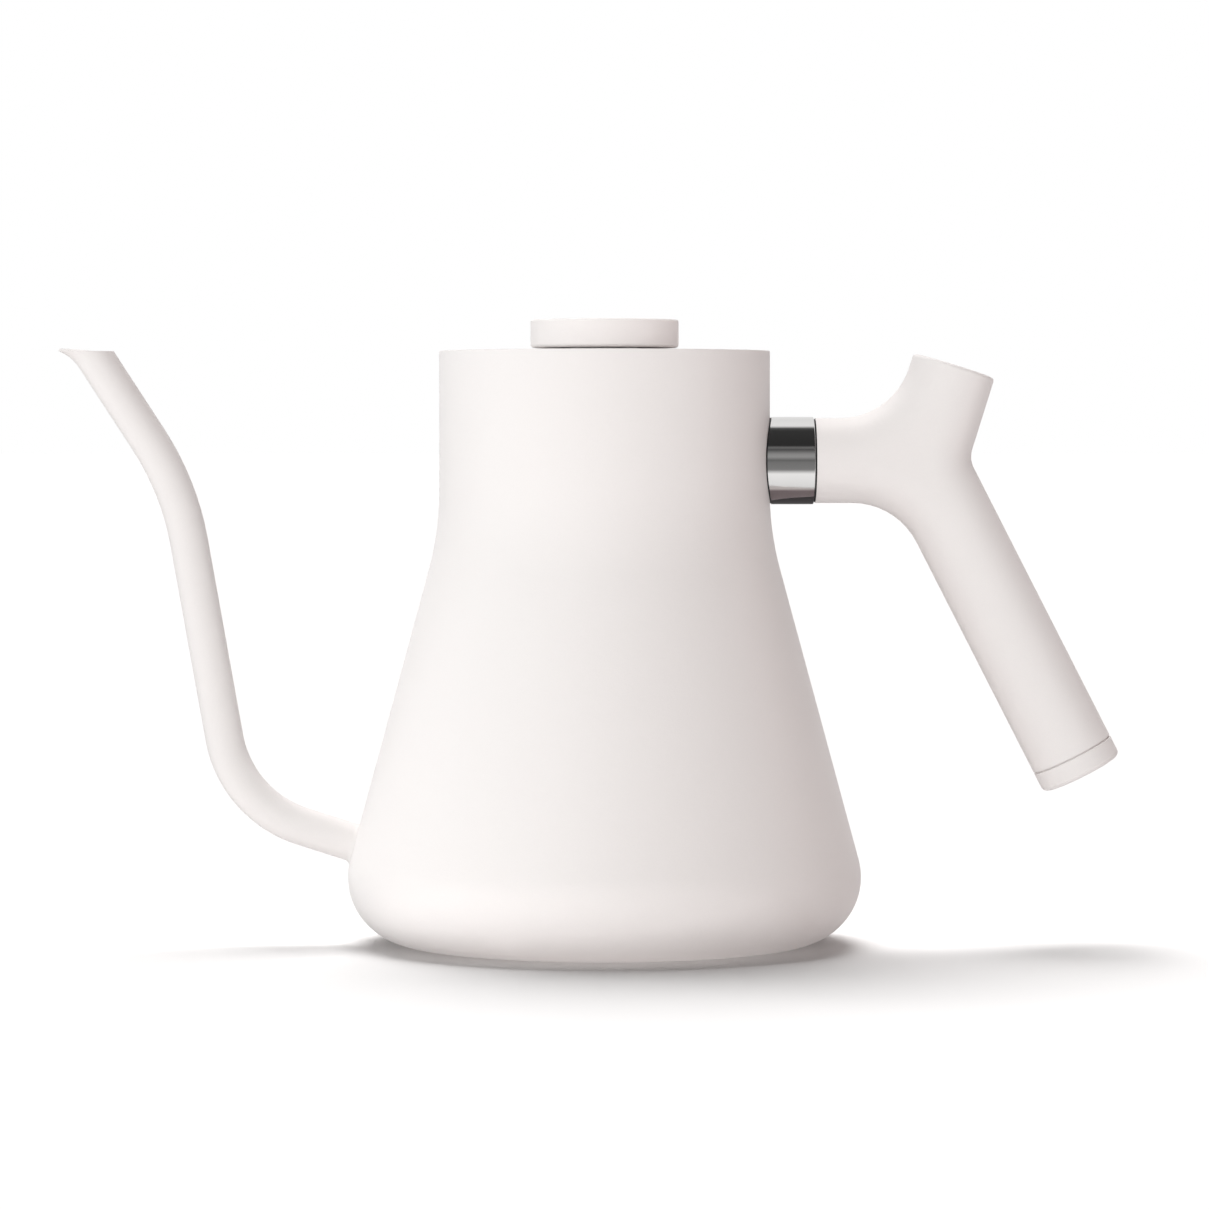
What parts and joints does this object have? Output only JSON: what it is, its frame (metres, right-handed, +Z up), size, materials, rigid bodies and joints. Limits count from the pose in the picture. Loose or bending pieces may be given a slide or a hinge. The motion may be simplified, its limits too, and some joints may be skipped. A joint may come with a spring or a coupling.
{
  "type": "gooseneck kettle",
  "caption": "Pour-over kettle with a slim gooseneck spout, a flush lid with a dial thermometer in its knob, and a forked, counterweighted handle.",
  "frame": {"origin": "on the body's axis, at the flat base that stands on the table", "axes": "+Z up along the body's axis, +X towards the handle, the spout at -X, and Y across the kettle"},
  "size_m": [0.2931, 0.142, 0.1725],
  "materials": {
    "coated_steel": "matte warm white powder coat with a fine satin grain",
    "handle_plastic": "matte warm white moulding, soft to the touch",
    "brushed_steel": "brushed stainless steel",
    "polished_steel": "polished stainless steel",
    "dark_steel": "blackened steel",
    "heat_disc": "plain aluminium",
    "black_rubber": "matte black rubber",
    "silicone": "grey food-safe silicone",
    "dial": "matte off-white dial with dark ticks and plain numbers",
    "window": "clear flat window",
    "bimetal": "bare bimetal strip",
    "pointer_paint": "satin orange-red paint"
  },
  "bodies": {
    "kettle": {"body_shell": "coated_steel", "base_floor": "brushed_steel", "heat_disc": "heat_disc", "base_capsule": "brushed_steel", "neck_ring": "brushed_steel", "spout_tube": "coated_steel", "handle_tenon": "brushed_steel", "collar_body_gasket": "black_rubber", "handle_collar": "polished_steel", "collar_handle_gasket": "black_rubber", "handle_shell": "handle_plastic", "handle_screw": "dark_steel", "screw_washer": "brushed_steel", "thumb_plug": "handle_plastic", "counterweight": "dark_steel", "grip_end_cap": "handle_plastic"},
    "lid": {"lid_top": "coated_steel", "seal_carrier": "brushed_steel", "lid_seal": "silicone", "knob_spacer": "brushed_steel", "knob_housing": "handle_plastic", "thermometer_case": "polished_steel", "dial_plate": "dial", "dial_spacer": "black_rubber", "dial_window": "window", "probe_tube": "polished_steel", "bimetal_coil": "bimetal", "lid_washer": "silicone", "lid_nut": "polished_steel"},
    "pointer_body": {"pointer": "pointer_paint", "pointer_spindle": "polished_steel"}
  },
  "joints": [
    {"name": "lid_lift", "type": "slide", "parent": "kettle", "child": "lid", "axis": [0, 0, 1], "range_m": [0, 0.12]},
    {"name": "pointer_turn", "type": "hinge", "parent": "lid", "child": "pointer_body", "pos_m": [0, 0, 0.1695], "axis": [0, 0, 1], "range_deg": [-270, 0]}
  ]
}
